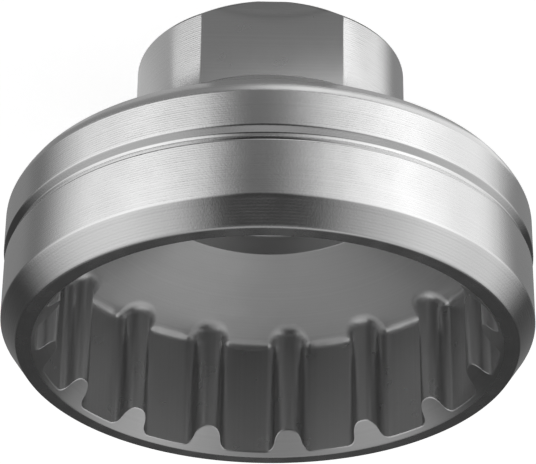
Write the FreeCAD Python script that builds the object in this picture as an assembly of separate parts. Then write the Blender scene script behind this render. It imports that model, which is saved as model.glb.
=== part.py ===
import FreeCAD, Part

# Bottom bracket tool for external cups with sixteen notches round their rim.
# It is one turned and milled piece: a socket with sixteen inner teeth, a conical
# web, and a round hub with two wrench flats and a square hole for a ratchet.
#
# Frame: millimetres, +Z up along the tool's axis. The tool stands on its hub's
# end, so z = 0 is that end's face and the toothed mouth is at the top. The two
# wrench flats face -Y and +Y. A depth is measured down from the mouth.

import math
import os

# The cup that the tool turns
cup_diameter = 44.0        # outside diameter of the cup's notched rim
cup_clearance = 0.1        # gap all round between the cup and the tooth roots
notch_count = 16

# Teeth
tooth_height = 1.7         # how far a tooth stands in from the root circle
tooth_tip_width = 2.25     # width at the tip, before its corners are rounded
tooth_flank_angle = 17.0   # lean of each flank from the tooth's own centre line
tooth_tip_round = 1.2
tooth_root_round = 0.9
tooth_phase = 6.5          # turn of one tooth from the middle of a wrench flat

# Mouth and outer bands, from the mouth down
lead_in = 0.4              # radial width of the lead-in at the tooth roots
lead_in_angle = 45.0       # its slope, which also cuts the ends of the teeth
rim_width = 1.4            # flat face round the mouth
bevel_width = 1.6          # outer bevel, measured radially
bevel_height = 2.4
mouth_band_height = 5.7    # straight band beside the bevel
groove_depth = 0.4
groove_lower_rise = 0.6    # long flank of the groove, on the mouth's side
groove_floor_height = 0.35
groove_upper_rise = 0.55   # short flank, on the hub's side
back_band_proud = 0.1      # how much further out the band behind the groove is
back_band_height = 3.7
shoulder_in = 0.4          # steep ramp behind that band
shoulder_rise = 0.8
bead_height = 0.3          # short straight wall behind the ramp
bead_bevel_in = 0.45       # bevel from that wall to the web's back
bead_bevel_rise = 0.55

# Conical web between the bands and the hub, its angles from a plane across the axis
web_back_angle = 35.5
web_floor_angle = 30.0
rim_web = 4.2              # wall along the axis between the two cones, at the tooth roots

# Bore behind the socket, which clears the end of a crank spindle
spindle_diameter = 24.0
spindle_clearance = 0.4    # gap all round
bore_length = 2.2          # from the socket's floor to the step
bore_bevel = 0.3

# Hub, its wrench flats and its square hole
flat_width = 23.0          # across the two flats
flat_depth = 1.92          # how far each flat is cut into the round hub
flat_stop = 0.8            # round part left between the flats and the web
hub_length = 9.95          # from the web's back to the hub's end
end_bevel_width = 1.85     # bevel on the hub's end, measured radially
end_bevel_angle = 40.0     # its slope from the end's face
drive_square = 9.53        # a three eighths of an inch ratchet
drive_clearance = 0.07     # added to the hole's width
drive_corner_round = 0.4
drive_mouth = 0.3          # how far the conical mouth of the hole clears its corners
detent_diameter = 3.2      # drilled pockets for the ratchet's ball, one in each wall
detent_sink = 0.6
detent_place = 5.4         # from the hub's end to the pockets' centres

overcut = 1.0              # how far a cutting shape runs past the face that it opens

# Radii that follow from those sizes
root_r = cup_diameter / 2 + cup_clearance
tip_r = root_r - tooth_height
mouth_r = root_r + lead_in
rim_r = mouth_r + rim_width
band_r = rim_r + bevel_width
groove_r = band_r - groove_depth
back_band_r = band_r + back_band_proud
bead_r = back_band_r - shoulder_in
web_r = bead_r - bead_bevel_in
bore_r = spindle_diameter / 2 + spindle_clearance
hub_r = flat_width / 2 + flat_depth

# Depths that follow from those sizes
groove_start = bevel_height + mouth_band_height
groove_floor_start = groove_start + groove_lower_rise
groove_floor_end = groove_floor_start + groove_floor_height
groove_end = groove_floor_end + groove_upper_rise
shoulder_start = groove_end + back_band_height
shoulder_end = shoulder_start + shoulder_rise
bead_end = shoulder_end + bead_height
web_start = bead_end + bead_bevel_rise

tooth_turns = [90 + tooth_phase + index * 360 / notch_count for index in range(notch_count)]
half_square = (drive_square + drive_clearance) / 2
x_axis = FreeCAD.Vector(1, 0, 0)
z_axis = FreeCAD.Vector(0, 0, 1)
origin = FreeCAD.Vector(0, 0, 0)


def drop(width, angle):
    """Depth gained over a radial width on a slope measured from a plane across the axis."""
    return width * math.tan(math.radians(angle))


def web_back(radius):
    """Depth of the web's back face at a radius."""
    return web_start + drop(web_r - radius, web_back_angle)


def web_floor(radius):
    """Depth of the socket's conical floor at a radius."""
    return web_back(root_r) - rim_web + drop(root_r - radius, web_floor_angle)


bore_end = web_floor(bore_r) + bore_length
height = web_back(hub_r) + hub_length


def at(radius, depth):
    """Point of a turned profile, in the XZ plane."""
    return FreeCAD.Vector(radius, 0, height - depth)


def turned(points, seam=0.0):
    """Solid turned about Z from the points of a profile, with its seam at an angle in degrees."""
    profile = Part.Face(Part.makePolygon(points + points[:1]))
    solid = profile.revolve(origin, z_axis, 360)
    solid.rotate(origin, z_axis, seam)
    return solid


def outer_body():
    """The outside of the tool: bands, groove, shoulder, web's back and round hub, all solid."""
    return turned([
        at(0, 0),
        at(rim_r, 0),
        at(band_r, bevel_height),
        at(band_r, groove_start),
        at(groove_r, groove_floor_start),
        at(groove_r, groove_floor_end),
        at(back_band_r, groove_end),
        at(back_band_r, shoulder_start),
        at(bead_r, shoulder_end),
        at(bead_r, bead_end),
        at(web_r, web_start),
        at(hub_r, web_back(hub_r)),
        at(hub_r, height - drop(end_bevel_width, end_bevel_angle)),
        at(hub_r - end_bevel_width, height),
        at(0, height),
    ])


def tooth():
    """Bar with the section of one tooth, pointing along X, its outer end inside the wall."""
    def half_width(radius):
        return tooth_tip_width / 2 + (radius - tip_r) * math.tan(math.radians(tooth_flank_angle))

    outer = root_r + overcut
    points = [
        FreeCAD.Vector(tip_r, -half_width(tip_r), 0),
        FreeCAD.Vector(outer, -half_width(outer), 0),
        FreeCAD.Vector(outer, half_width(outer), 0),
        FreeCAD.Vector(tip_r, half_width(tip_r), 0),
    ]
    return Part.Face(Part.makePolygon(points + points[:1])).extrude(z_axis * (height + overcut))


def upright_edges(solid, least_r, most_r):
    """Straight edges of a solid that are parallel to Z, between two radii."""
    found = []
    for edge in solid.Edges:
        low, high = edge.Vertexes[0].Point, edge.Vertexes[-1].Point
        radius = math.hypot(low.x, low.y)
        upright = math.hypot(high.x - low.x, high.y - low.y) < 1e-6 < abs(high.z - low.z)
        if upright and least_r < radius < most_r:
            found.append(edge)
    return found


def toothed_space():
    """Space inside the root circle with the rounded teeth left out, as tall as the tool."""
    space = Part.makeCylinder(root_r, height + overcut)
    space.rotate(origin, z_axis, tooth_turns[0])
    teeth = []
    for turn in tooth_turns:
        bar = tooth()
        bar.rotate(origin, z_axis, turn)
        teeth.append(bar)
    space = space.cut(teeth)
    middle_r = (tip_r + root_r) / 2
    space = space.makeFillet(tooth_root_round, upright_edges(space, middle_r, root_r + overcut))
    return space.makeFillet(tooth_tip_round, upright_edges(space, 0, middle_r))


def socket_space():
    """Space of the toothed socket, its conical floor and the bore behind it."""
    half_pitch = 180 / notch_count
    outer_r = root_r + overcut
    bevel_r = bore_r + bore_bevel
    turned_space = turned([
        at(0, -overcut),
        at(outer_r, -overcut),
        at(outer_r, web_floor(outer_r)),
        at(bevel_r, web_floor(bevel_r)),
        at(bore_r, web_floor(bore_r) + bore_bevel),
        at(bore_r, bore_end),
        at(0, bore_end),
    ], tooth_turns[0] + half_pitch)
    return toothed_space().common(turned_space)


def mouth_space():
    """Conical lead-in that opens the roots and cuts the ends of the teeth."""
    outer_r = mouth_r + overcut
    inner_r = tip_r - overcut
    top = drop(mouth_r - outer_r, lead_in_angle)
    bottom = drop(mouth_r - inner_r, lead_in_angle)
    return turned([at(0, top), at(outer_r, top), at(inner_r, bottom), at(0, bottom)])


def drive_space():
    """Square hole through the hub, its conical mouth and a drilled pocket in each wall."""
    length = height - bore_end + 2 * overcut
    corner = FreeCAD.Vector(-half_square, -half_square, -overcut)
    hole = Part.makeBox(2 * half_square, 2 * half_square, length, corner)
    hole = hole.makeFillet(drive_corner_round, upright_edges(hole, 0, 2 * half_square))
    cone_r = half_square * math.sqrt(2) + drive_mouth + overcut
    pieces = [Part.makeCone(cone_r, 0, cone_r, z_axis * -overcut)]
    for turn in (0, 90, 180, 270):
        pocket = Part.makeCylinder(detent_diameter / 2, half_square + detent_sink,
                                   z_axis * detent_place, x_axis)
        pocket.rotate(origin, z_axis, turn)
        pieces.append(pocket)
    return hole.fuse(pieces)


def flat_cutters():
    """Blocks that cut the two wrench flats into the hub."""
    wide = 2 * (hub_r + overcut)
    tall = hub_length - flat_stop + overcut
    blocks = []
    for turn in (90, 270):
        block = Part.makeBox(hub_r, wide, tall, FreeCAD.Vector(flat_width / 2, -wide / 2, -overcut))
        block.rotate(origin, z_axis, turn)
        blocks.append(block)
    return blocks


def tool_body():
    """The whole tool as one solid."""
    spaces = [socket_space(), mouth_space(), drive_space()] + flat_cutters()
    solid = outer_body()
    for space in spaces:
        solid = solid.cut(space)
    return solid.removeSplitter().Solids[0]


tool = tool_body()
os.makedirs("parts", exist_ok=True)
tool.exportStep("parts/tool_body.step")
print("height %.2f mm, diameter %.2f mm, volume %.0f cubic mm, valid %s"
      % (height, 2 * back_band_r, tool.Volume, tool.isValid()))
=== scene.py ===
import logging
import math
from dataclasses import dataclass
from enum import Enum
from functools import reduce

import bpy
import numpy as np
from mathutils import Matrix, Vector


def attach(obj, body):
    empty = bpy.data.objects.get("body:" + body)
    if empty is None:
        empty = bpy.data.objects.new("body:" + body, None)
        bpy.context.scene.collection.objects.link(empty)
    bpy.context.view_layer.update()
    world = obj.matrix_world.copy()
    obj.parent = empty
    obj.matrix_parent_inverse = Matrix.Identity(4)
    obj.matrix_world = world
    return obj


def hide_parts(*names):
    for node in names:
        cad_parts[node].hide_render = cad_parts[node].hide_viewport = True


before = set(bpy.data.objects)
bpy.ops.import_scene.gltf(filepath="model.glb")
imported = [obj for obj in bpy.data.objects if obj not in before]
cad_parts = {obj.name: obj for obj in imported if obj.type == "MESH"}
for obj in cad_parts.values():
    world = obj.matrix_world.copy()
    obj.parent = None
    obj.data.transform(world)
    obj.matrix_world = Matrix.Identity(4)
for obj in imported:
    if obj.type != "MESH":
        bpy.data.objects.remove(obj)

# Bottom bracket tool of clear anodised aluminium, standing on its hub with its toothed
# mouth up. Sizes are in millimetres and angles in degrees until a mesh is written, in
# metres. A turn is an angle round the tool's axis from +X. The two wrench flats face
# -Y and +Y, and the camera stands on the -Y side. An ease is how far from a corner its
# rounding starts.

LOG = logging.getLogger("bottom_bracket_tool")
MM = 0.001
CAD_NODE = "tool_body"
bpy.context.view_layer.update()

Signal = bpy.types.NodeSocket | float

MOUTH_RADIUS = 22.5
MOUTH_HEIGHT = 32.982

# The skin's grid
FLOOR_COLUMN_GAP = 0.01    # least turn between two columns of the floor
COLUMN_GAP = 0.12          # least turn from one of the teeth's columns to another column
MOST_EASE = 0.32           # the most of a face that one corner's rounding takes up
MOST_HOLD = 0.12           # the most of a face between a rounding and its extra row
MARKS_MAP = "machining"
MAP_SCALE = 20.0           # map units for each metre of the section

# The metal's texture
GRAIN_SIZE = 0.20
GRAIN_DEPTH = 0.0048
DRIFT_SIZE = 2.5           # size of the patches in which marks are deep or shallow
DRIFT_RANGE = (0.3, 0.7)   # that noise's usual least and most
MARK_SHADE_RANGE = (0.95, 1.04)  # painted shade in the marks' valleys and a painted highlight on their ridges
MARK_RADIUS = 22.0         # radius at which upright marks have their own pitch

FADE_OUT = (1.0, 0.0)


def linear(hex_colour: str) -> tuple[float, float, float, float]:
    """Turn an sRGB hex colour into a linear red, green, blue and an alpha of 1."""
    parts = [int(hex_colour[i:i + 2], 16) / 255 for i in (1, 3, 5)]
    return (*[p / 12.92 if p <= 0.04045 else ((p + 0.055) / 1.055) ** 2.4 for p in parts], 1.0)


class Nodes:
    """The nodes of one material or world, added by short calls."""

    def __init__(self, owner: bpy.types.Material | bpy.types.World) -> None:
        """Turn on the owner's node tree and empty it."""
        owner.use_nodes = True
        self.tree = owner.node_tree
        self.tree.nodes.clear()

    def add(
        self, kind: str, inputs: dict | None = None, output: int | str = 0, **settings: object
    ) -> Signal:
        """Add a node with its settings, and fill or link its inputs.

        Args:
            kind: The node's type name, without its first words ShaderNode.
            inputs: A value, or a socket to link from, for each input by its name or number.
            output: Name or number of the output that is wanted.
            **settings: Values for the node's own properties.

        Returns:
            The socket of that output.
        """
        made = self.tree.nodes.new("ShaderNode" + kind)
        for name, value in settings.items():
            setattr(made, name, value)
        for key, value in (inputs or {}).items():
            if isinstance(value, bpy.types.NodeSocket):
                self.tree.links.new(value, made.inputs[key])
            else:
                made.inputs[key].default_value = value
        return made.outputs[output]

    def end(self, kind: str, shader: Signal) -> None:
        """Link a shader to the surface of a new output of the World or Material kind."""
        made = self.tree.nodes.new("ShaderNodeOutput" + kind)
        self.tree.links.new(shader, made.inputs["Surface"])

    def split(self, place: Signal) -> bpy.types.NodeOutputs:
        """Split a place into its three coordinates."""
        return self.add("SeparateXYZ", {0: place}).node.outputs

    def length(self, place: Signal) -> Signal:
        """Measure how far a place is from the origin."""
        return self.add("VectorMath", {0: place}, "Value", operation="LENGTH")

    def math(self, how: str, *values: Signal) -> Signal:
        """Work out one value from one to three others."""
        return self.add("Math", dict(enumerate(values)), operation=how)

    def product(self, *values: Signal) -> Signal:
        """Multiply any number of values."""
        return reduce(lambda first, second: self.math("MULTIPLY", first, second), values)

    def total(self, *values: Signal) -> Signal:
        """Add up any number of values."""
        return reduce(lambda first, second: self.math("ADD", first, second), values)

    def ramp(
        self,
        value: Signal,
        ends: tuple[float, float],
        levels: tuple[float, float] = (0.0, 1.0),
        shape: str = "SMOOTHSTEP",
    ) -> Signal:
        """Add a smooth step: s = u^2 (3 - 2u), with u running from 0 to 1 between two ends.

        Args:
            value: What is compared with the ends.
            ends: Where the step starts and ends.
            levels: The result before and after the step.
            shape: LINEAR for a straight rise, s = u.

        Returns:
            The socket that holds the result.
        """
        names = ("From Min", "From Max", "To Min", "To Max")
        inputs = {"Value": value, **dict(zip(names, (*ends, *levels)))}
        return self.add("MapRange", inputs, interpolation_type=shape)


def add_object(name: str, data: bpy.types.ID) -> bpy.types.Object:
    """Put a mesh or a camera into the scene as an object.

    Args:
        name: The object's name.
        data: Its mesh or camera.

    Returns:
        The object.
    """
    made = bpy.data.objects.new(name, data)
    bpy.context.scene.collection.objects.link(made)
    return made


def smooth_step(value: np.ndarray) -> np.ndarray:
    """Smooth step s = u^2 (3 - 2u), where u is the value held between 0 and 1."""
    share = np.clip(value, 0, 1)
    return share * share * (3 - 2 * share)


def unit(angle: np.ndarray) -> np.ndarray:
    """Unit vectors (cos a, sin a) for angles in radians, along a new last axis."""
    return np.stack([np.cos(angle), np.sin(angle)], axis=-1)


class Finish(Enum):
    """How a face of the tool was machined."""

    TURNED_SIDE = 0
    TURNED_FACE = 1
    MILLED_FLAT = 2
    TOOTHED_WALL = 3
    BROACHED_HOLE = 4
    BORED_FLOOR = 5
    BORED_SIDE = 6
    GROOVE = 7


@dataclass(frozen=True)
class MachinedAluminium:
    """Clear anodised aluminium with the marks that one machining step leaves."""

    name: str
    colour: str  # sRGB colour of the metal under its clear oxide
    roughness: float
    unevenness: float  # how far the roughness wanders from its mean
    stretch: float  # how far reflections stretch across the tool marks
    pitch: float  # spacing of the tool marks
    depth: float
    radial: bool = False  # True where the marks are rings on a face, not round a side
    upright: bool = False  # True where they run along the tool's axis

    def across_marks(self, nodes: Nodes, place: Signal) -> Signal:
        """Measure the way across the marks, in metres.

        It is the height on a side, the radius on a face, and for upright marks the turn
        round the axis times MARK_RADIUS.

        Args:
            nodes: The material's nodes.
            place: The socket of the Object coordinates.

        Returns:
            The socket that holds it.
        """
        x, y, height = nodes.split(place)
        if self.upright:
            return nodes.product(nodes.math("ARCTAN2", y, x), MARK_RADIUS * MM)
        return nodes.length(nodes.add("CombineXYZ", {0: x, 1: y})) if self.radial else height

    def material(self) -> bpy.types.Material:
        """Build the material.

        The marks are even ridges with some noise, h = sin(2 pi w / pitch) / 2 + noise(w / pitch),
        where w is the way across the marks. Their depth drifts from patch to patch. A noise
        in all directions gives the oxide's satin grain.

        Returns:
            The new material.
        """
        made = bpy.data.materials.new(self.name)
        nodes = Nodes(made)
        place = nodes.add("TexCoord", output="Object")
        along = self.across_marks(nodes, place)
        fine = {"W": along, "Scale": 1 / (self.pitch * MM), "Detail": 2.0, "Roughness": 0.6}
        wide = {"Vector": place, "Scale": 1 / (DRIFT_SIZE * MM), "Detail": 2.0}
        satin = {"Vector": place, "Scale": 1 / (GRAIN_SIZE * MM), "Detail": 1.0, "Roughness": 0.7}
        marks = nodes.add("TexNoise", fine, noise_dimensions="1D")
        drift = nodes.add("TexNoise", wide)
        grain = nodes.add("TexNoise", satin)
        wave = nodes.math("SINE", nodes.product(along, math.tau / (self.pitch * MM)))
        depth = nodes.product(nodes.math("MULTIPLY_ADD", wave, 0.5, marks), drift)
        bump = {"Height": depth, "Distance": self.depth * MM, "Strength": 1.0}
        normal = nodes.add("Bump", bump)
        bump = {"Height": grain, "Distance": GRAIN_DEPTH * MM, "Strength": 1.0, "Normal": normal}
        normal = nodes.add("Bump", bump)
        levels = (self.roughness - self.unevenness, self.roughness + self.unevenness)
        base = linear(self.colour)[:3]
        # The base colour is a little darker in the marks' valleys and a little lighter on their ridges:
        # painted shade and a painted highlight.
        dark, bright = ((*[min(1.0, part * share) for part in base], 1.0) for share in MARK_SHADE_RANGE)
        shader = nodes.add("BsdfPrincipled", {
            "Base Color": nodes.add("Mix", {"Factor": marks, 6: dark, 7: bright}, 2, data_type="RGBA"),
            "Metallic": 1.0,
            "Roughness": nodes.ramp(drift, DRIFT_RANGE, levels, "LINEAR"),
            "Anisotropic": self.stretch,
            "Normal": normal,
            "Tangent": nodes.add("Tangent", direction_type="UV_MAP", uv_map=MARKS_MAP),
        })
        nodes.end("Material", shader)
        return made


# Every finish is the same clear anodised aluminium: etched to a fine satin and given a thin
# colourless oxide in an acid bath after machining. The tool marks under it differ. Inside
# the socket its colour is darkened as painted shade.
# Mark pitches are real lathe and cutter feeds of 0.2 to 0.4 mm; the satin's own grain is
# finer than 0.05 mm and is drawn coarser, at GRAIN_SIZE, so that a picture can hold it.
FINISHES = {
    # Turned aluminium: a lathe's feed leaves fine rings. Bright, with highlights that are
    # drawn out along the tool's axis and a faint ribbing in the dark reflections.
    Finish.TURNED_SIDE: MachinedAluminium(
        "turned_anodised_aluminium_side", "#E3E3E3", 0.18, 0.02, 0.50, 0.235, 0.0028
    ),
    # Form-turned groove: cut in one plunge with a sharp tool, so almost without rings.
    # The smoothest metal here, with crisp light and dark lines.
    Finish.GROOVE: MachinedAluminium(
        "plunged_anodised_aluminium_groove", "#E3E3E3", 0.11, 0.02, 0.3, 0.235, 0.0008
    ),
    # Faced aluminium: the lathe's cross feed leaves rings round the axis. An even satin
    # that mirrors the room softly.
    Finish.TURNED_FACE: MachinedAluminium(
        "faced_anodised_aluminium", "#DEDEDE", 0.26, 0.03, 0.50, 0.235, 0.0016, radial=True
    ),
    # Milled flat: the side of an end mill passes along the hub. A plain, slightly duller
    # grey with faint level lines.
    Finish.MILLED_FLAT: MachinedAluminium(
        "milled_anodised_aluminium_flat", "#DCDCDC", 0.30, 0.03, 0.2, 0.30, 0.002
    ),
    # Milled teeth: a long cutter runs down each gap. Smooth, with soft upright lines
    # where one pass meets the next. Its darker colour is painted shade inside the socket.
    Finish.TOOTHED_WALL: MachinedAluminium(
        "milled_anodised_aluminium_teeth", "#D0D0D0", 0.29, 0.02, 0.3, 0.40, 0.0005, upright=True
    ),
    # Broached hole: a toothed bar is pulled through the hub. Duller, with clear scores
    # along the pull.
    Finish.BROACHED_HOLE: MachinedAluminium(
        "broached_anodised_aluminium", "#CACACA", 0.32, 0.04, 0.3, 0.35, 0.004, upright=True
    ),
    # Bored floor: a boring bar feeds inwards over the cone. A grey darkened as painted shade,
    # with rings that are only just seen.
    Finish.BORED_FLOOR: MachinedAluminium(
        "bored_anodised_aluminium_floor", "#CFCFCF", 0.32, 0.03, 0.3, 0.235, 0.002, radial=True
    ),
    # Bored recess: a long boring bar chatters a little in the deep hole. The dullest
    # metal here, without clear reflections, and darkened as painted shade in the hole.
    Finish.BORED_SIDE: MachinedAluminium(
        "bored_anodised_aluminium_recess", "#CECECE", 0.45, 0.03, 0.3, 0.235, 0.003
    ),
}


@dataclass(frozen=True)
class Corner:
    """One corner of the tool's section through its axis, with one place or one for each turn."""

    radius: np.ndarray | float
    height: np.ndarray | float  # above the hub's end
    ease: float
    finish: Finish  # of the face that follows it


@dataclass
class Strip:
    """Rows of points, each a ring round the tool, with the finish that follows each row."""

    points: np.ndarray  # rows by turns by three coordinates
    finishes: list[Finish]


def spun(radius: np.ndarray | float, height: np.ndarray | float, turns: np.ndarray) -> np.ndarray:
    """Place points by radius, turn and height: x = r cos t, y = r sin t, z = h.

    Args:
        radius: One radius, or rows by turns.
        height: One height, or rows by turns.
        turns: The turn of each column, or of each point.

    Returns:
        Points, rows by turns by three.
    """
    angle = np.radians(turns)
    radius, height, angle = np.broadcast_arrays(radius, height, angle)
    return np.stack([radius * np.cos(angle), radius * np.sin(angle), height], axis=-1)


def eased(corners: list[Corner], turns: np.ndarray, arcs: int = 2, hold: float = 0.12) -> Strip:
    """Join corners by straight faces with rounded corners.

    A corner at P becomes the curve (1-u)^2 S + 2u(1-u) P + u^2 E, where S and E lie on its
    two faces at the ease's distance. One more row stands a little further along each face,
    so that smooth shading stays near the corner.

    Args:
        corners: The corners in order. The first and last are ends and stay as they are.
        turns: The turn of each column.
        arcs: Number of faces on each rounding.
        hold: Distance of the extra rows from the rounding.

    Returns:
        The strip.
    """
    ones = np.ones_like(turns)
    points = np.array([[c.radius * ones, c.height * ones] for c in corners]).transpose(0, 2, 1)
    rows, finishes = [points[0]], [corners[0].finish]
    for before, here, after, corner, finish in zip(
        points, points[1:], points[2:], corners[1:], [c.finish for c in corners]
    ):
        back, on = before - here, after - here
        back_length = np.linalg.norm(back, axis=1, keepdims=True)
        on_length = np.linalg.norm(on, axis=1, keepdims=True)
        least = np.minimum(back_length, on_length)
        reach = np.minimum(corner.ease, MOST_EASE * least)
        far = reach + np.minimum(hold, MOST_HOLD * least)
        start, end = here + back / back_length * reach, here + on / on_length * reach
        rows.append(here + back / back_length * far)
        finishes.append(finish)
        for step in range(arcs + 1):
            u = step / arcs
            rows.append((1 - u) ** 2 * start + 2 * u * (1 - u) * here + u * u * end)
            finishes.append(finish if u < 0.5 else corner.finish)
        rows.append(here + on / on_length * far)
        finishes.append(corner.finish)
    rows.append(points[-1])
    finishes.append(corners[-1].finish)
    grid = np.array(rows)
    return Strip(spun(grid[..., 0], grid[..., 1], turns), finishes)


@dataclass(frozen=True)
class Teeth:
    """The sixteen inner teeth that fit the notches of a bottom bracket cup."""

    count: int = 16
    first_turn: float = 96.5
    root_radius: float = 22.1
    tip_radius: float = 20.4
    tip_width: float = 2.25
    flank_angle: float = 17.0
    tip_round: float = 1.2
    root_round: float = 0.9
    mesh_steps: tuple[int, int, int] = (1, 6, 3)  # on straights, rounds and root circle
    fine_steps: tuple[int, int, int] = (12, 40, 12)  # the same, where the wall is measured

    def half_outline(self, flat: int, arc: int, gap: int) -> np.ndarray:
        """Outline from the middle of a tooth's tip to the middle of the next gap.

        The tip is a straight line, then an arc of the tip's round, the leaning flank, an arc
        of the root's round, and the root circle. Each arc is its centre plus or minus its
        radius times a normal that turns evenly.

        Args:
            flat: Steps on the tip and on the flank.
            arc: Steps on each arc.
            gap: Steps on the root circle.

        Returns:
            Rows of turn from the tooth's middle in degrees, radius, and the normal's two
            parts across and along the tooth, pointing into the socket.
        """
        lean = math.radians(self.flank_angle)
        flank = np.array([math.sin(lean), math.cos(lean)])
        corner = np.array([self.tip_width / 2, self.tip_radius])
        cut = self.tip_round * math.tan((math.pi / 2 - lean) / 2)
        tip_centre = corner + [-cut, self.tip_round]
        offset = corner + self.root_round * np.array([math.cos(lean), -math.sin(lean)])
        toward = offset @ flank
        inner = self.root_radius - self.root_round
        root_centre = offset + flank * (math.sqrt(toward**2 - offset @ offset + inner**2) - toward)
        root_end = math.atan2(-root_centre[1], -root_centre[0])
        tip_normal = unit(np.linspace(-math.pi / 2, -lean, arc + 1))
        root_normal = unit(np.linspace(-lean, root_end, arc + 1))
        tip_arc = tip_centre + self.tip_round * tip_normal
        root_arc = root_centre - self.root_round * root_normal
        circle = np.linspace(math.atan2(*root_centre), math.pi / self.count, gap + 1)[1:]
        away = unit(circle)[:, ::-1]
        places = np.concatenate([
            np.linspace(0, 1, flat + 1)[:-1, None] * tip_arc[0],
            tip_arc,
            tip_arc[-1] + np.linspace(0, 1, flat + 2)[1:-1, None] * (root_arc[0] - tip_arc[-1]),
            root_arc,
            away * self.root_radius,
        ])
        places[:flat, 1] = self.tip_radius
        normals = np.concatenate([
            np.repeat([[0.0, -1.0]], flat, 0),
            tip_normal,
            np.repeat(tip_normal[-1:], flat, 0),
            root_normal,
            -away,
        ])
        turn = np.degrees(np.arctan2(places[:, 0], places[:, 1]))
        return np.column_stack([turn, np.hypot(places[:, 0], places[:, 1]), normals])

    def from_tooth(self, turns: np.ndarray) -> np.ndarray:
        """Turn from the middle of the nearest tooth, with its sign."""
        pitch = 360 / self.count
        return (turns - self.first_turn + pitch / 2) % pitch - pitch / 2

    def columns(self) -> np.ndarray:
        """Turns at which the tool's mesh needs a column to follow the teeth."""
        half = self.half_outline(*self.mesh_steps)[:, 0]
        one = np.concatenate([-half[:0:-1], half[:-1]])
        starts = self.first_turn + np.arange(self.count) * 360 / self.count
        return (starts[:, None] + one).ravel() % 360

    def in_gap(self, turns: np.ndarray, ease: float) -> np.ndarray:
        """Smooth step from 0 at the root's rounds to 1 an ease further into the gap."""
        start = self.half_outline(*self.mesh_steps)[-self.mesh_steps[-1] - 1, 0]
        return smooth_step((np.abs(self.from_tooth(turns)) - start) / ease)

    def wall(self, turns: np.ndarray) -> tuple[np.ndarray, np.ndarray]:
        """Radius and normal of the toothed wall.

        Args:
            turns: The turn of each column.

        Returns:
            The radius at each turn, and the normal into the socket as x and y.
        """
        offset = self.from_tooth(turns)
        start, *rest = self.half_outline(*self.fine_steps).T
        radius, across, along = (np.interp(np.abs(offset), start, values) for values in rest)
        out = unit(np.radians(turns - offset))
        side = out[:, ::-1] * [1, -1]
        normal = along[:, None] * out + (across * np.sign(-offset))[:, None] * side
        return radius, normal / np.linalg.norm(normal, axis=1, keepdims=True)


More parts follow.
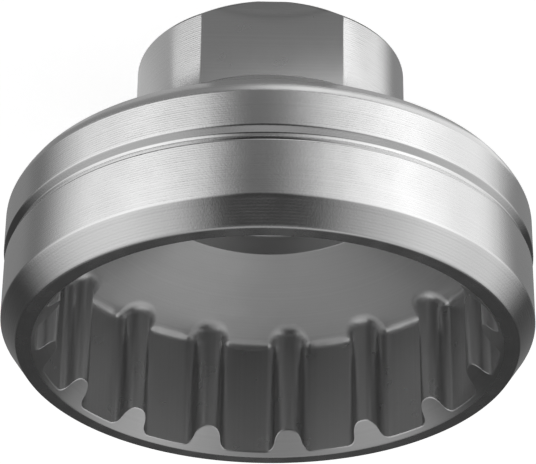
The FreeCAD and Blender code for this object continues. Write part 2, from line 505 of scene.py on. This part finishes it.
@dataclass(frozen=True)
class Socket:
    """The toothed socket, its conical floor and the recess for the crank spindle."""

    teeth: Teeth = Teeth()
    mouth_height: float = MOUTH_HEIGHT
    mouth_radius: float = MOUTH_RADIUS
    tooth_end_ease: float = 0.09
    floor_height: float = 20.342  # at the tooth roots
    floor_angle: float = 30.0
    floor_shares: tuple[float, ...] = (0.0, 0.25, 0.5, 0.7, 0.8, 0.88, 0.94, 0.98)
    swing_share: float = 0.7      # where the floor's columns have swung to those of its round
    root_fillet: float = 0.85     # the floor's round at the tooth roots
    tip_fillet: float = 1.5
    gap_fillet: float = 0.30      # how much it grows towards the middle of a gap
    gap_ease: float = 1.6         # over this turn
    fillet_rows: int = 7
    recess_radius: float = 12.4
    recess_bevel: float = 0.06
    recess_ease: float = 0.15
    recess_ring: float = 0.3      # the floor's first ring, round the recess
    step_height: float = 12.542
    step_ease: float = 0.25

    def floor(self, radius: np.ndarray | float) -> np.ndarray | float:
        """Height of the conical floor, which rises outwards at its angle."""
        rise = math.tan(math.radians(self.floor_angle))
        return self.floor_height + (radius - self.teeth.root_radius) * rise

    def ball(self, turns: np.ndarray) -> tuple[np.ndarray, np.ndarray]:
        """The ball that rolls in the corner between the wall and the floor.

        Its radius f goes from the root's fillet to the tip's by how far the wall stands in
        times the square of how squarely it faces the axis, and grows towards the middle of
        each gap. Its centre lies f from the wall along the wall's normal, and above the
        floor by f over the cosine of the floor's angle.

        Args:
            turns: The turn of each column.

        Returns:
            The radius and the centre at each turn.
        """
        radius, normal = self.teeth.wall(turns)
        place = spun(radius, 0.0, turns)
        square = np.clip(-np.sum(place[:, :2] * normal, 1) / radius, 0, 1) ** 2
        share = (self.teeth.root_radius - radius) / (self.teeth.root_radius - self.teeth.tip_radius)
        fillet = self.root_fillet + (self.tip_fillet - self.root_fillet) * share * square
        fillet = (fillet + self.gap_fillet * self.teeth.in_gap(turns, self.gap_ease))[:, None]
        place[:, :2] += fillet * normal
        lift = fillet[:, 0] / math.cos(math.radians(self.floor_angle))
        place[:, 2] = self.floor(np.hypot(place[:, 0], place[:, 1])) + lift
        return fillet, place

    def floor_strip(self, turns: np.ndarray) -> Strip:
        """The floor and its round against the teeth, from the recess to the wall.

        The floor is straight between its inner ring and the ball's line of contact. The
        round is the ball's centre plus its radius times a direction that turns evenly from
        the floor's normal to the wall's.

        Args:
            turns: The turn of each column.

        Returns:
            The strip.
        """
        fillet, centre = self.ball(turns)
        angle = math.radians(self.floor_angle)
        out = centre[:, :2] / np.linalg.norm(centre[:, :2], axis=1, keepdims=True)
        down = np.column_stack([out * math.sin(angle), np.full(len(turns), -math.cos(angle))])
        to_wall = np.column_stack([-self.teeth.wall(turns)[1], np.zeros(len(turns))])
        spread = np.arccos(np.clip(np.sum(down * to_wall, 1), -1, 1))[:, None]
        share = np.linspace(0, 1, self.fillet_rows)[:, None, None]
        ways = (np.sin((1 - share) * spread) * down + np.sin(share * spread) * to_wall) / np.sin(spread)
        round_rows = centre + fillet * ways
        contact = round_rows[0]
        contact_radius = np.hypot(contact[:, 0], contact[:, 1])
        contact_turn = np.degrees(np.arctan2(contact[:, 1], contact[:, 0]))
        ahead = turns + (contact_turn - turns + 180) % 360 - 180
        least = FLOOR_COLUMN_GAP * np.arange(len(turns))
        shift = np.maximum.accumulate(ahead - least) + least - turns
        steps = np.array(self.floor_shares)[:, None]
        inner = self.recess_radius + self.recess_bevel + self.recess_ring
        radius = inner + (contact_radius - inner) * steps
        moved = np.minimum(steps / self.swing_share, 1) ** 2
        floor_rows = spun(radius, self.floor(radius), turns + shift * moved)
        rows = np.concatenate([floor_rows, round_rows[:-1]])
        return Strip(rows, [Finish.BORED_FLOOR] * len(rows))

    def wall_corners(self, turns: np.ndarray) -> list[Corner]:
        """The toothed wall, and the conical lead-in that cuts the ends of the teeth."""
        radius = self.teeth.wall(turns)[0]
        end = self.mouth_height - (self.mouth_radius - radius)
        return [
            Corner(radius, self.ball(turns)[1][:, 2], 0.0, Finish.TOOTHED_WALL),
            Corner(radius, end, self.tooth_end_ease, Finish.BORED_FLOOR),
        ]

    def recess_corners(self) -> list[Corner]:
        """The step behind the recess, its wall and its bevelled edge."""
        bevel = self.recess_radius + self.recess_bevel
        low = self.floor(self.recess_radius) - self.recess_bevel
        ring = bevel + self.recess_ring
        return [
            Corner(self.recess_radius, self.step_height, self.step_ease, Finish.BORED_SIDE),
            Corner(self.recess_radius, low, self.recess_ease, Finish.BORED_FLOOR),
            Corner(bevel, self.floor(bevel), self.recess_ease, Finish.BORED_FLOOR),
            Corner(ring, self.floor(ring), 0.0, Finish.BORED_FLOOR),
        ]


@dataclass(frozen=True)
class Bands:
    """The outside from the mouth to the hub: rim, bevel, bands, groove, shoulder and web.

    Each start and end is a depth below the mouth.
    """

    mouth_radius: float = MOUTH_RADIUS
    mouth_ease: float = 0.05
    rim_radius: float = 23.9
    band_radius: float = 25.5
    edge_ease: float = 0.1
    bevel_end: float = 2.4
    groove_radius: float = 25.1
    groove_start: float = 8.1
    groove_floor_start: float = 8.7
    groove_floor_end: float = 9.05
    groove_end: float = 9.6
    groove_edge_ease: float = 0.06
    groove_floor_ease: float = 0.05
    back_band_radius: float = 25.6
    shoulder_radius: float = 25.25
    shoulder_start: float = 13.5
    shoulder_end: float = 14.2
    shoulder_ease: float = 0.26
    web_radius: float = 24.75
    web_start: float = 14.95

    def corners(self, top: float) -> list[Corner]:
        """The corners from the mouth's inner edge to the web's outer edge.

        Args:
            top: Height of the mouth.

        Returns:
            The corners in order.
        """
        face, side, groove = Finish.TURNED_FACE, Finish.TURNED_SIDE, Finish.GROOVE
        return [
            Corner(self.mouth_radius, top, self.mouth_ease, face),
            Corner(self.rim_radius, top, self.edge_ease, side),
            Corner(self.band_radius, top - self.bevel_end, self.edge_ease, side),
            Corner(self.band_radius, top - self.groove_start, self.groove_edge_ease, groove),
            Corner(self.groove_radius, top - self.groove_floor_start, self.groove_floor_ease, groove),
            Corner(self.groove_radius, top - self.groove_floor_end, self.groove_floor_ease, groove),
            Corner(self.back_band_radius, top - self.groove_end, self.groove_edge_ease, side),
            Corner(self.back_band_radius, top - self.shoulder_start, self.shoulder_ease, side),
            Corner(self.shoulder_radius, top - self.shoulder_end, self.shoulder_ease, side),
            Corner(self.web_radius, top - self.web_start, self.edge_ease, side),
        ]


@dataclass(frozen=True)
class Hub:
    """The round hub with its two wrench flats and the bevel round its end."""

    radius: float = 13.42
    web_height: float = 9.95
    web_ease: float = 0.12
    flat_radius: float = 11.5
    flat_top: float = 9.8
    flat_lip: float = 0.03     # height of the edge above a flat
    flat_ease: float = 0.05
    bevel_in: float = 1.85
    bevel_angle: float = 40.0
    end_ease: float = 0.08
    edge_turn: float = 0.35    # from a flat's upright edge to the columns beside it
    least: float = 0.02        # smallest width of a face, and how near a flat counts as on it
    least_turn: float = 0.01   # the same as a turn
    most_turn: float = 60.0    # the flat's line isn't followed further round than this

    def flat_half_turn(self) -> float:
        """Half the turn that one flat spans, where the flat meets the round side."""
        return math.degrees(math.acos(self.flat_radius / self.radius))

    def columns(self) -> np.ndarray:
        """Turns at the four upright edges of the flats, with a column on each side."""
        half = self.flat_half_turn()
        near = np.array([-self.edge_turn, 0.0, self.edge_turn])
        edges = np.array([90 - half, 90 + half, 270 - half, 270 + half])
        return (edges[:, None] + near).ravel() % 360

    def from_flat(self, turns: np.ndarray) -> np.ndarray:
        """Turn from the middle of the nearer flat, without its sign."""
        return np.abs(turns % 180 - 90)

    def side(self, turns: np.ndarray) -> np.ndarray:
        """Radius of the hub with its flats: the smaller of the circle and the flat's line."""
        away = np.radians(np.minimum(self.from_flat(turns), self.most_turn))
        return np.minimum(self.radius, self.flat_radius / np.cos(away))

    def corners(self, turns: np.ndarray) -> list[Corner]:
        """The corners from the web's foot to the hub's end.

        Args:
            turns: The turn of each column.

        Returns:
            The corners in order.
        """
        side = self.side(turns)
        end = self.radius - self.bevel_in
        end_radius = np.minimum(end, side - self.least)
        rise = np.maximum((side - end) * math.tan(math.radians(self.bevel_angle)), self.least)
        return [
            Corner(self.radius, self.web_height, self.web_ease, Finish.TURNED_SIDE),
            Corner(self.radius, self.flat_top + self.flat_lip, self.flat_ease, Finish.TURNED_SIDE),
            Corner(side, self.flat_top, self.flat_ease, Finish.TURNED_SIDE),
            Corner(side, rise, self.end_ease, Finish.TURNED_SIDE),
            Corner(end_radius, 0.0, self.end_ease, Finish.TURNED_FACE),
        ]

    def on_flats(self, points: np.ndarray, turns: np.ndarray) -> np.ndarray:
        """Which faces of the skin lie on a wrench flat.

        Args:
            points: Rows by turns by three, in millimetres.
            turns: The turn of each column.

        Returns:
            Rows by turns, True where the face that starts at the point lies on a flat.
        """
        within = self.from_flat(turns) < self.flat_half_turn() - self.least_turn
        away = np.linalg.norm(points[..., :2], axis=-1) - self.side(turns)
        below = points[..., 2] < self.flat_top - self.least
        on_flat = within & np.roll(within, -1) & below & (np.abs(away) < self.least)
        return on_flat & np.roll(on_flat, -1, axis=0)


@dataclass(frozen=True)
class DriveHole:
    """The square hole for a ratchet, its conical mouth and its pockets for the ratchet's ball."""

    half_width: float = 4.8
    corner_round: float = 0.4
    corner_steps: tuple[float, ...] = (-1, -0.6, -0.25, 0, 0.25, 0.6, 1)
    mouth_clearance: float = 0.3
    mouth_ease: float = 0.06
    inner_end_ease: float = 0.1
    pocket_radius: float = 1.6
    pocket_sink: float = 0.6
    pocket_height: float = 5.4
    pocket_edge: float = 0.16  # width of a pocket's soft edge
    pocket_rim: float = 0.15   # how far the pockets' rows run past them
    pocket_ease: float = 0.05  # from those rows to the walls above and below
    pocket_rows: int = 21

    def columns(self) -> np.ndarray:
        """Turns round the four corners of the square."""
        start = math.degrees(math.atan2(self.half_width - self.corner_round, self.half_width))
        near = (45 - start) * np.array(self.corner_steps)
        return (np.arange(4)[:, None] * 90 + 45 + near).ravel() % 360

    def side(self, turns: np.ndarray) -> np.ndarray:
        """Radius of the square with rounded corners, seen from the axis.

        A wall is w / cos a at a turn a from its middle. A corner is the arc round its own
        centre at a distance d, where r = d cos b + sqrt(q^2 - d^2 sin^2 b), with b the turn
        from the corner and q its round.

        Args:
            turns: The turn of each column.

        Returns:
            The radius at each turn.
        """
        away = np.abs((turns + 45) % 90 - 45)
        wall = self.half_width / np.cos(np.radians(away))
        inner = self.half_width - self.corner_round
        centre = inner * math.sqrt(2)
        beside = np.radians(45 - away)
        under = np.maximum(self.corner_round**2 - (centre * np.sin(beside)) ** 2, 0)
        arc = centre * np.cos(beside) + np.sqrt(under)
        return np.where(away > math.degrees(math.atan2(inner, self.half_width)), arc, wall)

    def mouth_radius(self) -> float:
        """Radius of the hole's conical mouth at the hub's end."""
        return self.half_width * math.sqrt(2) + self.mouth_clearance

    def pocket_strip(self, turns: np.ndarray) -> Strip:
        """The stretch of the walls that holds the drilled pockets.

        A point of a wall moves straight out by the pocket's depth times a smooth step of
        its distance from the pocket's middle.

        Args:
            turns: The turn of each column.

        Returns:
            The strip.
        """
        reach = self.pocket_radius + self.pocket_rim
        height = self.pocket_height + np.linspace(-reach, reach, self.pocket_rows)[:, None]
        points = spun(self.side(turns), height, turns)
        out = unit(np.radians(np.round(turns / 90) * 90))
        beside = points[..., :2] - out * np.sum(points[..., :2] * out, -1, keepdims=True)
        distance = np.hypot(np.linalg.norm(beside, axis=-1), height - self.pocket_height)
        share = (self.pocket_radius - distance) / self.pocket_edge + 0.5
        points[..., :2] += out * (self.pocket_sink * smooth_step(share))[..., None]
        return Strip(points, [Finish.BROACHED_HOLE] * len(height))


@dataclass(frozen=True)
class Tool:
    """The whole tool as one closed skin over its section through the axis."""

    socket: Socket = Socket()
    bands: Bands = Bands()
    hub: Hub = Hub()
    hole: DriveHole = DriveHole()

    def turns(self) -> np.ndarray:
        """Turns of all columns, with those too close together left out."""
        kept = np.concatenate([self.hub.columns(), self.hole.columns()])
        added = self.socket.teeth.columns()
        gap = np.abs((added[:, None] - kept + 180) % 360 - 180).min(axis=1)
        return np.sort(np.concatenate([kept, added[gap > COLUMN_GAP]]))

    def strips(self, turns: np.ndarray) -> list[Strip]:
        """All strips in order, from the wall over the outside and back to the floor.

        Args:
            turns: The turn of each column.

        Returns:
            The strips, the last of which ends where the first starts.
        """
        hole = self.hole
        side = hole.side(turns)
        mouth = hole.mouth_radius()
        pockets = hole.pocket_strip(turns)
        low = pockets.points[0, 0, 2] - hole.pocket_ease
        high = pockets.points[-1, 0, 2] + hole.pocket_ease
        outside = [
            *self.socket.wall_corners(turns),
            *self.bands.corners(self.socket.mouth_height),
            *self.hub.corners(turns),
            Corner(mouth, 0.0, self.hub.end_ease, Finish.TURNED_FACE),
            Corner(side, mouth - side, hole.mouth_ease, Finish.BROACHED_HOLE),
            Corner(side, low, 0.0, Finish.BROACHED_HOLE),
        ]
        inside = [
            Corner(side, high, 0.0, Finish.BROACHED_HOLE),
            Corner(side, self.socket.step_height, hole.inner_end_ease, Finish.BORED_FLOOR),
            *self.socket.recess_corners(),
        ]
        recess = eased(inside, turns)
        recess.points = recess.points[:-1]
        recess.finishes = recess.finishes[:-1]
        return [eased(outside, turns), pockets, recess, self.socket.floor_strip(turns)]

    def build(self) -> bpy.types.Object:
        """Make the skin's mesh, dress it and put it on the tool's body.

        Returns:
            The finished piece.
        """
        turns = self.turns()
        strips = self.strips(turns)
        points = np.concatenate([s.points for s in strips])
        finishes = np.array([f.value for s in strips for f in s.finishes])[:, None]
        slots = np.where(self.hub.on_flats(points, turns), Finish.MILLED_FLAT.value, finishes)
        mesh = grid_mesh("tool_skin", points * MM, slots, turns)
        for finish in Finish:
            mesh.materials.append(FINISHES[finish].material())
        piece = add_object("tool_skin", mesh)
        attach(piece, "root")
        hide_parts(CAD_NODE)
        return piece


def grid_mesh(
    name: str, points: np.ndarray, slots: np.ndarray, turns: np.ndarray
) -> bpy.types.Mesh:
    """Make a closed mesh from rings of points, joined along and across in a loop.

    A face joins point (i+1, j) to (i+1, j+1), (i, j+1) and (i, j), and both counts wrap
    round. Its map runs along the section in u and round the axis in v.

    Args:
        name: The mesh's name.
        points: Rows by columns by three, in metres.
        slots: Material number of each face, rows by columns.
        turns: The turn of each column.

    Returns:
        The mesh, with its faces pointing out of the metal.
    """

    def quads(grid: np.ndarray) -> np.ndarray:
        """The four corners of each face, from a grid with one more row and column."""
        return np.stack([grid[1:, :-1], grid[1:, 1:], grid[:-1, 1:], grid[:-1, :-1]], axis=2)

    flat = points.reshape(-1, 3)
    index = np.arange(len(flat)).reshape(points.shape[:2])
    faces = quads(np.pad(index, (0, 1), mode="wrap")).reshape(-1, 4)
    step = np.linalg.norm(np.roll(points, -1, axis=0) - points, axis=-1).mean(axis=1)
    along = np.concatenate([[0.0], np.cumsum(step)]) * MAP_SCALE
    around = np.append(turns, turns[0] + 360) / 360
    maps = quads(np.stack(np.meshgrid(along, around, indexing="ij"), axis=-1))
    mesh = bpy.data.meshes.new(name)
    mesh.vertices.add(len(flat))
    mesh.vertices.foreach_set("co", flat.astype(np.float32).ravel())
    mesh.loops.add(faces.size)
    mesh.loops.foreach_set("vertex_index", faces.astype(np.int32).ravel())
    mesh.polygons.add(len(faces))
    mesh.polygons.foreach_set("loop_start", np.arange(0, faces.size, 4, dtype=np.int32))
    mesh.polygons.foreach_set("material_index", slots.astype(np.int32).ravel())
    mesh.polygons.foreach_set("use_smooth", np.ones(len(faces), dtype=bool))
    layer = mesh.uv_layers.new(name=MARKS_MAP)
    layer.data.foreach_set("uv", maps.astype(np.float32).ravel())
    mesh.update(calc_edges=True)
    mesh.validate()
    return mesh


@dataclass(frozen=True)
class SoftBox:
    """One tall soft light of the studio, as a patch of the sky that the metal mirrors.

    Directions are the turn from the camera's side towards the box's own side, and the
    angle above the horizon, all in degrees.
    """

    near: tuple[float, float]  # turns between which its edge on the camera's side fades in
    far: tuple[float, float]  # turns between which its other edge fades out
    slant: float  # how far the near edge moves for each degree of height
    foot: tuple[float, float]  # heights between which its lower end fades in
    top: tuple[float, float]  # heights between which it dims towards its top
    top_share: float  # what is left of its light at the top
    level: float
    lamp_turn: float  # turn of the lamp behind its cloth, where it is brightest
    lamp_reach: float  # how far round that brighter patch reaches
    lamp_level: float  # how much the lamp adds in the middle of the patch

    def light(self, nodes: Nodes, turn: Signal, height: Signal) -> Signal:
        """Add the nodes that give this box's light in a direction.

        Args:
            nodes: The world's nodes.
            turn: The direction's turn towards this box's side.
            height: Its angle above the horizon.

        Returns:
            The socket that holds the light.
        """
        moved = nodes.math("MULTIPLY_ADD", height, -self.slant, turn)
        cloth = nodes.product(
            nodes.ramp(moved, self.near), nodes.ramp(turn, self.far, FADE_OUT), self.level
        )
        from_lamp = nodes.math("ABSOLUTE", nodes.total(moved, -self.lamp_turn))
        lamp = nodes.ramp(from_lamp, (0.0, self.lamp_reach), (self.lamp_level, 0.0))
        return nodes.product(
            nodes.total(cloth, lamp),
            nodes.ramp(height, self.foot),
            nodes.ramp(height, self.top, (1.0, self.top_share)),
        )


@dataclass(frozen=True)
class Studio:
    """The pale floor, the white backdrop and the soft light round the tool."""

    right_box: SoftBox = SoftBox(
        (3.9, 43.2), (99.1, 133.3), 0.19, (-40.0, -36.0), (-20.7, 68.0), 0.11, 0.99, 66.0, 31.5, 0.36
    )
    left_box: SoftBox = SoftBox(
        (11.5, 43.2), (76.4, 124.3), 0.15, (-41.0, -32.0), (-8.0, 70.8), 0.10, 1.02, 60.0, 20.0, 0.15
    )
    front_level: float = 0.15
    front_turns: tuple[float, float] = (0.0, 36.0)
    front_foot: tuple[float, float] = (-44.0, -38.0)
    front_top: tuple[float, float] = (-28.5, -22.2)
    back_level: float = 0.27
    back_turns: tuple[float, float] = (103.0, 136.0)
    back_heights: tuple[float, float] = (-48.7, 6.4)
    overhead_level: float = 0.27
    overhead_lean: float = 0.13
    overhead_heights: tuple[float, float] = (38.0, 52.0)
    table_level: float = 0.10
    table_heights: tuple[float, float] = (-58.6, -53.3)
    fill: float = 0.045
    floor_lift: float = 0.78
    floor_colour: str = "#EDEDED"
    floor_half: float = 6.0

    def build(self) -> bpy.types.Object:
        """Make the world's light, and then the floor, which it returns."""
        self.light_world()
        return self.build_floor()

    def light_world(self) -> None:
        """Make the world: white to the camera, and the studio's lights to everything else."""
        world = bpy.data.worlds.new("studio")
        bpy.context.scene.world = world
        nodes = Nodes(world)
        x, y, z = nodes.split(nodes.add("TexCoord", output="Generated"))
        right = nodes.product(x, -1.0)
        turn = nodes.math("DEGREES", nodes.math("ARCTAN2", right, nodes.product(y, -1.0)))
        height = nodes.math("DEGREES", nodes.math("ARCSINE", z))
        aside = nodes.math("ABSOLUTE", turn)
        behind = nodes.product(
            nodes.ramp(aside, self.back_turns),
            nodes.ramp(height, self.back_heights, (self.back_level, 0.0)),
        )
        in_front = nodes.product(
            nodes.ramp(aside, self.front_turns, (self.front_level, 0.0)),
            nodes.ramp(height, self.front_foot),
            nodes.ramp(height, self.front_top, FADE_OUT),
        )
        overhead = nodes.product(
            nodes.math("MULTIPLY_ADD", right, self.overhead_lean, self.overhead_level),
            nodes.ramp(height, self.overhead_heights),
        )
        total = nodes.total(
            self.right_box.light(nodes, turn, height),
            self.left_box.light(nodes, nodes.product(turn, -1.0), height),
            behind,
            in_front,
            nodes.ramp(height, self.table_heights, (self.table_level, 0.0)),
            overhead,
            self.fill,
        )
        light = nodes.add("Background", {"Color": total})
        white = nodes.add("Background", {"Color": (1.0, 1.0, 1.0, 1.0)})
        seen = nodes.add("LightPath", output="Is Camera Ray")
        nodes.end("World", nodes.add("MixShader", {0: seen, 1: light, 2: white}))

    def build_floor(self) -> bpy.types.Object:
        """Make the floor, a plain square whose own pale colour is lifted to the backdrop's white.

        Returns:
            The floor.
        """
        made = bpy.data.materials.new("pale_studio_floor")
        nodes = Nodes(made)
        card = nodes.add("BsdfDiffuse", {"Color": linear(self.floor_colour)})
        seen = nodes.add("LightPath", output="Is Camera Ray")
        lift = nodes.add("Emission", {"Strength": nodes.product(seen, self.floor_lift)})
        nodes.end("Material", nodes.add("AddShader", {0: card, 1: lift}))
        half = self.floor_half
        corners = [(-half, -half, 0), (half, -half, 0), (half, half, 0), (-half, half, 0)]
        mesh = bpy.data.meshes.new("studio_floor")
        mesh.from_pydata(corners, [], [(0, 1, 2, 3)])
        mesh.materials.append(made)
        floor = add_object("studio_floor", mesh)
        floor.visible_glossy = False
        return floor


@dataclass(frozen=True)
class LitTable:
    """The lit table close to the tool, a flat ring that only the metal's reflections see.

    Its places are the picture's right and the side towards the camera, in millimetres from
    the axis. Beyond the change it grows brighter towards the right. Within it, it covers a
    part on the left, behind an edge, and a strip in front, and is open elsewhere.
    """

    radii: tuple[float, float] = (13.6, 46.0)
    change: tuple[float, float] = (25.4, 26.6)  # radii where its inner part becomes its outer
    side: tuple[float, float] = (-0.32, 0.24)  # shares of the radius towards the right
    side_levels: tuple[float, float] = (0.26, 0.90)  # the outer part's light at those two
    back_edge: tuple[float, float] = (-14.0, -2.0)  # where the outer part comes in
    left_edge: float = 8.2  # how near the camera the left part ends
    left_start: float = -9.0  # how far left it starts
    left_near: tuple[float, float] = (-2.0, 8.0)  # places where it grows darker
    left_levels: tuple[float, float] = (0.50, 0.40)  # its light at those two
    strip: float = 8.0  # half width of the strip in front
    strip_level: float = 0.21
    edge: float = 1.5  # width of each part's soft edge
    lift: float = 0.1  # height above the floor
    turn_step: int = 5  # turn between two of its points

    def build(self) -> bpy.types.Object:
        """Make the ring and its light.

        Returns:
            The ring.
        """
        turns = np.arange(0, 360, self.turn_step)
        points = spun(np.array(self.radii)[:, None], self.lift, turns)
        index = np.arange(len(turns))
        after = np.roll(index, -1)
        faces = np.stack([index, index + len(turns), after + len(turns), after], axis=1)
        mesh = bpy.data.meshes.new("lit_table")
        mesh.from_pydata((points.reshape(-1, 3) * MM).tolist(), [], faces.tolist())
        mesh.materials.append(self.material())
        card = add_object("lit_table", mesh)
        card.visible_camera = card.visible_diffuse = card.visible_shadow = False
        return card

    def material(self) -> bpy.types.Material:
        """Build the ring's light: a level by the side and the radius, and open in two places.

        Returns:
            The new material.
        """
        made = bpy.data.materials.new("lit_table")
        nodes = Nodes(made)
        place = nodes.add("TexCoord", output="Object")
        x, y, _ = nodes.split(place)
        right, near = nodes.product(x, -1.0), nodes.product(y, -1.0)
        radius = nodes.length(place)

        def fade(value: Signal, start: float, end: float, levels: tuple = (0.0, 1.0)) -> Signal:
            """Add a smooth step between two places in millimetres."""
            return nodes.ramp(value, (start * MM, end * MM), levels)

        beyond = fade(radius, *self.change)
        within = nodes.total(1.0, nodes.product(beyond, -1.0))
        outer = nodes.product(beyond, fade(near, *self.back_edge))
        left = nodes.product(
            within,
            fade(near, self.left_edge, self.left_edge + self.edge, FADE_OUT),
            fade(right, self.left_start - self.edge, self.left_start, FADE_OUT),
        )
        front = nodes.product(
            within,
            fade(nodes.math("ABSOLUTE", right), self.strip, self.strip + self.edge, FADE_OUT),
            fade(near, 0.0, self.edge),
        )
        share = nodes.math("DIVIDE", right, radius)
        total = nodes.total(
            nodes.product(outer, nodes.ramp(share, self.side, self.side_levels)),
            nodes.product(left, fade(near, *self.left_near, self.left_levels)),
            nodes.product(front, self.strip_level),
        )
        cover = nodes.total(outer, left, front)
        light = nodes.add("Emission", {"Strength": nodes.math("DIVIDE", total, cover)})
        clear = nodes.add("BsdfTransparent")
        nodes.end("Material", nodes.add("MixShader", {0: cover, 1: clear, 2: light}))
        return made


@dataclass(frozen=True)
class PhotoCamera:
    """The photograph's camera, which looks down at the tool and is rolled upside down.

    Its aim is a pitch below the level and a yaw from the axis. It stands a small turn beside
    the middle of the wrench flat.
    """

    distance: float = 219.5
    above_mouth: float = 115.7
    mouth_height: float = MOUTH_HEIGHT
    pitch: float = 30.5
    yaw: float = -0.021
    roll: float = 0.64
    round_tool: float = 0.6
    focal_pixels: float = 2605.0
    image_width: float = 536.0
    sensor_width: float = 36.0
    clip: tuple[float, float] = (0.01, 20.0)

    def build(self) -> bpy.types.Object:
        """Make the camera and set it as the scene's.

        Returns:
            The camera.
        """
        pitch, yaw, roll = (math.radians(a) for a in (self.pitch, self.yaw, self.roll))
        ahead = Vector((
            math.sin(yaw) * math.cos(pitch), math.cos(yaw) * math.cos(pitch), math.sin(pitch)
        ))
        right = ahead.cross(Vector((0, 0, 1))).normalized()
        up = right.cross(ahead)
        over = math.cos(roll) * right + math.sin(roll) * up
        above = -math.sin(roll) * right + math.cos(roll) * up
        aside = Matrix.Rotation(-math.radians(self.round_tool), 3, "Z")
        turned = Matrix.Rotation(math.pi, 3, "Y") @ aside
        place = turned @ Vector((0, -self.distance, -self.above_mouth))
        matrix = Matrix([turned @ a for a in (over, above, -ahead)]).transposed().to_4x4()
        matrix.translation = (place + Vector((0, 0, self.mouth_height))) * MM
        data = bpy.data.cameras.new("photo_camera")
        data.sensor_width = self.sensor_width
        data.lens = self.focal_pixels / self.image_width * self.sensor_width
        data.clip_start, data.clip_end = self.clip
        camera = add_object("photo_camera", data)
        camera.matrix_world = matrix
        bpy.context.scene.camera = camera
        return camera


def main() -> None:
    """Build the tool, the studio and the camera, and report each."""
    logging.basicConfig(level=logging.INFO)
    bpy.context.scene.view_settings.view_transform = "Standard"
    tool = Tool().build()
    LOG.info("%s: %d points, %d faces", tool.name, len(tool.data.vertices), len(tool.data.polygons))
    for part in (Studio(), LitTable(), PhotoCamera()):
        LOG.info("%s: placed", part.build().name)


if __name__ == "__main__":
    main()
